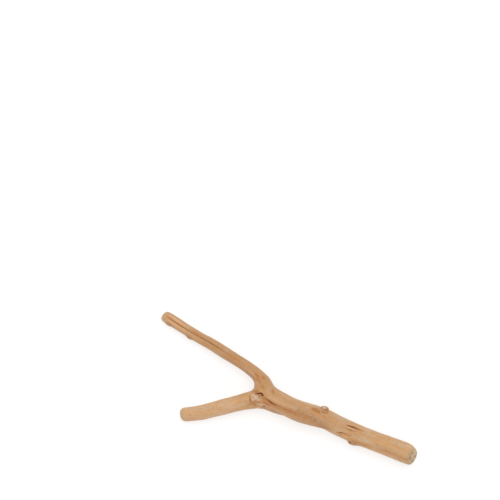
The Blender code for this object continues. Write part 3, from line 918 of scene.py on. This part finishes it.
def wood_material():
    """The wood's paint. It reads the grain, the stains and painted shade, and the rest at each vertex.
    """
    material = bpy.data.materials.new("driftwood")
    material.use_nodes = True
    tree = material.node_tree
    shader = tree.nodes["Principled BSDF"]
    group = fibres_group()

    def read_from_mesh(name, socket="Fac"):
        return node(tree, "ShaderNodeAttribute", {}, attribute_name=name).outputs[socket]

    def fibres(length, width, detail, wander):
        inputs = {"Grain": grain, "Length": length, "Width": width, "Detail": detail, "Wander": wander}
        return node(tree, "ShaderNodeGroup", inputs, node_tree=group).outputs["Fibre"]

    grain = read_from_mesh("grain", "Vector")
    place = node(tree, "ShaderNodeTexCoord", {}).outputs["Object"]
    bands = fibres(*BAND_FIBRES)
    streaks = fibres(*STREAK_FIBRES)
    flecks = fibres(*FLECK_FIBRES)
    fine = fibres(*FINE_FIBRES)
    patches = noise_value(tree, place, PATCH_SCALE, 2.0)
    mottle = noise_value(tree, place, MOTTLE_SCALE, 4.0, 0.65)
    tints = noise_value(tree, vectors(tree, "MULTIPLY", grain, TINT_STRETCH), 1.0, 3.0, 0.6)

    # Bare wood: bands of four tans along the grain, with tinted patches and flecks over them.
    ramp = node(tree, "ShaderNodeValToRGB", {"Fac": bands})
    stops = ramp.color_ramp.elements
    stops[0].position, stops[0].color = 0.0, KHAKI
    stops[1].position, stops[1].color = 1.0, ROSE
    stops.new(0.35).color = TAN
    stops.new(0.62).color = OCHRE
    colour = mixed(tree, spread(tree, patches, 0.42, 0.66, 0.0, 0.6), ramp.outputs["Color"], TAN)
    colour = mixed(tree, spread(tree, tints, 0.50, 0.64, 0.0, 0.85), colour, OCHRE)
    colour = mixed(tree, spread(tree, tints, 0.47, 0.34, 0.0, 0.7), colour, GREY_TAN)
    colour = mixed(tree, spread(tree, flecks, 0.68, 0.95, 0.0, 0.3), colour, GREY_TAN)

    # Brown limbs are darker, with more rusty flecks and orange mottle. Stains, and the painted shade
    # among them, have ragged edges.
    brown = read_from_mesh("brown")
    colour = mixed(tree, brown, colour, BROWN_TINT, "MULTIPLY")
    flecks_on_brown = spread(tree, brown, 0.0, 1.0, 0.2, 0.5)
    rusty = sums(tree, "MULTIPLY", spread(tree, flecks, 0.38, 0.08), flecks_on_brown)
    colour = mixed(tree, rusty, colour, RUST)
    mottle_on_brown = spread(tree, brown, 0.2, 1.0, 0.10, 0.45)
    mottled = sums(tree, "MULTIPLY", spread(tree, mottle, 0.5, 0.68), mottle_on_brown)
    colour = mixed(tree, mottled, colour, ORANGE)
    edge = spread(tree, mottle, 0.3, 0.7, -0.3, 0.3)
    stain_and_shade = spread(tree, sums(tree, "ADD", read_from_mesh("stain_and_shade"), edge), 0.1, 0.8)
    colour = mixed(tree, stain_and_shade, colour, ORANGE)
    colour = mixed(tree, spread(tree, brown, 0.12, 0.0, 0.0, 0.4), colour, EVEN_TAN)
    colour = shaded(tree, colour, spread(tree, mottle, 0.35, 0.65), 0.90, 1.08)
    colour = shaded(tree, colour, streaks, 0.89, 1.08)
    colour = shaded(tree, colour, fine, 0.91, 1.06)

    # Bleached wood.
    grey = shaded(tree, mixed(tree, spread(tree, mottle, 0.35, 0.6), CREAM, ASH), fine, 0.85, 1.1)
    colour = mixed(tree, spread(tree, read_from_mesh("bleached"), 0.1, 0.75, 0.0, 0.9), colour, grey)

    # End grain: uneven rings round a dark pith, checks that run out from it, and a soiled edge.
    across = node(tree, "ShaderNodeSeparateXYZ", {0: grain}).outputs
    square = sums(tree, "ADD", sums(tree, "POWER", across[1], 2.0), sums(tree, "POWER", across[2], 2.0))
    from_pith = sums(tree, "SQRT", square)
    broad_bend = sums(tree, "MULTIPLY", patches, RING_BEND_BROAD)
    uneven = sums(tree, "ADD", broad_bend, sums(tree, "MULTIPLY", mottle, RING_BEND_FINE))
    out_from_pith = sums(tree, "ADD", from_pith, uneven)
    ring = sums(tree, "FRACT", sums(tree, "DIVIDE", out_from_pith, RING_WIDTH))
    ring = spread(tree, sums(tree, "POWER", ring, 3.0), 0.0, 1.0, 0.0, 0.6)
    turn = sums(tree, "MULTIPLY", sums(tree, "ARCTAN2", across[1], across[2]), RAYS_ROUND)
    outwards = sums(tree, "MULTIPLY", from_pith, RAYS_OUT)
    rays = node(tree, "ShaderNodeCombineXYZ", {"X": turn, "Y": outwards}).outputs[0]
    check = spread(tree, noise_value(tree, rays, 1.0, 1.0), 0.40, 0.33, 0.0, 0.9)
    end = mixed(tree, spread(tree, mottle, 0.42, 0.60, 0.05, 0.75), END_PALE, END_DARK)
    end = mixed(tree, ring, end, END_DARK)
    end = mixed(tree, check, shaded(tree, end, patches, 0.8, 1.2), DARK_RED_BROWN)
    end = mixed(tree, spread(tree, from_pith, *PITH_RADIUS, 0.95, 0.0), end, BLACK_BROWN)
    cut = read_from_mesh("cut")
    worn_round = mixed(tree, spread(tree, mottle, 0.38, 0.58, 0.2, 0.65), END_PALE, END_DARK)
    colour = mixed(tree, spread(tree, cut, 0.01, 0.30, 0.0, 0.8), colour, worn_round)
    colour = mixed(tree, spread(tree, cut, 0.45, 0.9), colour, end)

    # The seam beside the stub, brown and partly painted crease shade; worn lips, partly painted
    # highlight; and dirt in whatever is deep, with painted shade in the hollow, the seam and the pit.
    seam = sums(tree, "MULTIPLY", read_from_mesh("seam"), spread(tree, mottle, 0.3, 0.65, 0.35, 0.75))
    colour = mixed(tree, seam, colour, SEAM_BROWN_AND_SHADE)
    wear_and_highlight = sums(tree, "MULTIPLY", read_from_mesh("wear_and_highlight"), spread(tree, mottle, 0.3, 0.6, 1.0, 0.6))
    colour = mixed(tree, wear_and_highlight, colour, PEACH)
    dirt_and_shade = read_from_mesh("dirt_and_shade")
    colour = mixed(tree, spread(tree, dirt_and_shade, 0.05, 0.6, 0.0, 0.9), colour, DARK_RED_BROWN)
    colour = mixed(tree, spread(tree, dirt_and_shade, 0.55, 1.0, 0.0, 0.95), colour, BLACK_BROWN)
    tree.links.new(colour, shader.inputs["Base Color"])

    fibre_roughness = spread(tree, streaks, 0.0, 1.0, ROUGH_DARK_STREAK, ROUGH_LIGHT_STREAK)
    roughness = sums(tree, "ADD", fibre_roughness, spread(tree, dirt_and_shade, 0.0, 1.0, 0.0, ROUGHER_DIRT_AND_SHADE))
    tree.links.new(roughness, shader.inputs["Roughness"])
    shader.inputs["Specular IOR Level"].default_value = DULL_SHINE
    shader.inputs["Sheen Weight"].default_value = FIBRE_SHEEN
    height = sums(tree, "MULTIPLY", streaks, STREAK_BUMP)
    height = sums(tree, "ADD", height, sums(tree, "MULTIPLY", fine, FIBRE_BUMP))
    height = sums(tree, "ADD", height, sums(tree, "MULTIPLY", mottle, MOTTLE_BUMP))
    bump = node(tree, "ShaderNodeBump", {"Height": height, "Strength": 1.0, "Distance": MM})
    tree.links.new(bump.outputs["Normal"], shader.inputs["Normal"])
    return material


# The piece itself, which stands in for the frame's solid.
mesh = wood_body()
mesh.materials.clear()
mesh.materials.append(wood_material())
branch = bpy.data.objects.new("weathered_branch", mesh)
bpy.context.scene.collection.objects.link(branch)
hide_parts("driftwood_branch")
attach(branch, "root")

# The floor: a plain, very pale sheet that the branch lies on. It isn't part of the object.
FLOOR_HALF_SIDE = 4.0
FLOOR_GAP = 0.05 * MM
FLOOR_COLOUR = (0.36, 0.36, 0.36, 1)
FLOOR_ROUGHNESS = 0.9
FLOOR_GLOW = 0.64
bm = bmesh.new()
bmesh.ops.create_grid(bm, x_segments=1, y_segments=1, size=FLOOR_HALF_SIDE,
                      matrix=Matrix.Translation((0, 0, -FLOOR_GAP)))
floor_mesh = bpy.data.meshes.new("floor")
bm.to_mesh(floor_mesh)
bm.free()
floor = bpy.data.objects.new("floor", floor_mesh)
bpy.context.scene.collection.objects.link(floor)
floor_paint = bpy.data.materials.new("floor")
floor_paint.use_nodes = True
floor_shader = floor_paint.node_tree.nodes["Principled BSDF"].inputs
floor_shader["Base Color"].default_value = FLOOR_COLOUR
floor_shader["Roughness"].default_value = FLOOR_ROUGHNESS
floor_shader["Emission Color"].default_value = (1, 1, 1, 1)
floor_shader["Emission Strength"].default_value = FLOOR_GLOW
floor_mesh.materials.append(floor_paint)

# The camera looks down on the branch, from a little behind it, as the photograph does. It is turned
# so that the trunk runs down to the right, and it stands far off, so that nothing looks bent.
VIEW_TURN = math.radians(29)
VIEW_TILT = math.radians(15)
VIEW_DISTANCE = 1.458
VIEW_LENS = 150.0
VIEW_NEAREST = 0.05
VIEW_FARTHEST = 20.0
VIEW_MIDDLE = Vector((-70.0, 97.7, 0.0)) * MM
view_right = Vector((math.cos(VIEW_TURN), math.sin(VIEW_TURN), 0.0))
view_back = Vector((
    math.sin(VIEW_TURN) * math.sin(VIEW_TILT),
    -math.cos(VIEW_TURN) * math.sin(VIEW_TILT),
    math.cos(VIEW_TILT),
))
view_up = view_back.cross(view_right)
lens = bpy.data.cameras.new("camera")
lens.lens = VIEW_LENS
lens.clip_start = VIEW_NEAREST
lens.clip_end = VIEW_FARTHEST
camera = bpy.data.objects.new("camera", lens)
view_turned = Matrix((view_right, view_up, view_back)).transposed().to_4x4()
camera.matrix_world = Matrix.Translation(VIEW_MIDDLE + view_back * VIEW_DISTANCE) @ view_turned
bpy.context.scene.collection.objects.link(camera)
bpy.context.scene.camera = camera

# The light: an even white surround, the floor's own glow, which keeps the shadows faint as on a
# light table, and one large soft light from over the branch, leaning to the top of the picture.
SURROUND_LIGHT = 0.80
KEY_SIZE = 1.4
KEY_DISTANCE = 1.5
KEY_WATTS = 9.8
KEY_LEAN = 0.42
surround = bpy.data.worlds.new("studio")
surround.use_nodes = True
surround.node_tree.nodes["Background"].inputs["Color"].default_value = (1, 1, 1, 1)
surround.node_tree.nodes["Background"].inputs["Strength"].default_value = SURROUND_LIGHT
bpy.context.scene.world = surround
bpy.context.scene.view_settings.view_transform = "Standard"
key = bpy.data.lights.new("key", "AREA")
key.size = KEY_SIZE
key.energy = KEY_WATTS
key_light = bpy.data.objects.new("key", key)
key_from = (view_up * KEY_LEAN + view_back).normalized()
key_turned = key_from.to_track_quat("Z", "Y").to_matrix().to_4x4()
key_light.matrix_world = Matrix.Translation(key_from * KEY_DISTANCE) @ key_turned
bpy.context.scene.collection.objects.link(key_light)
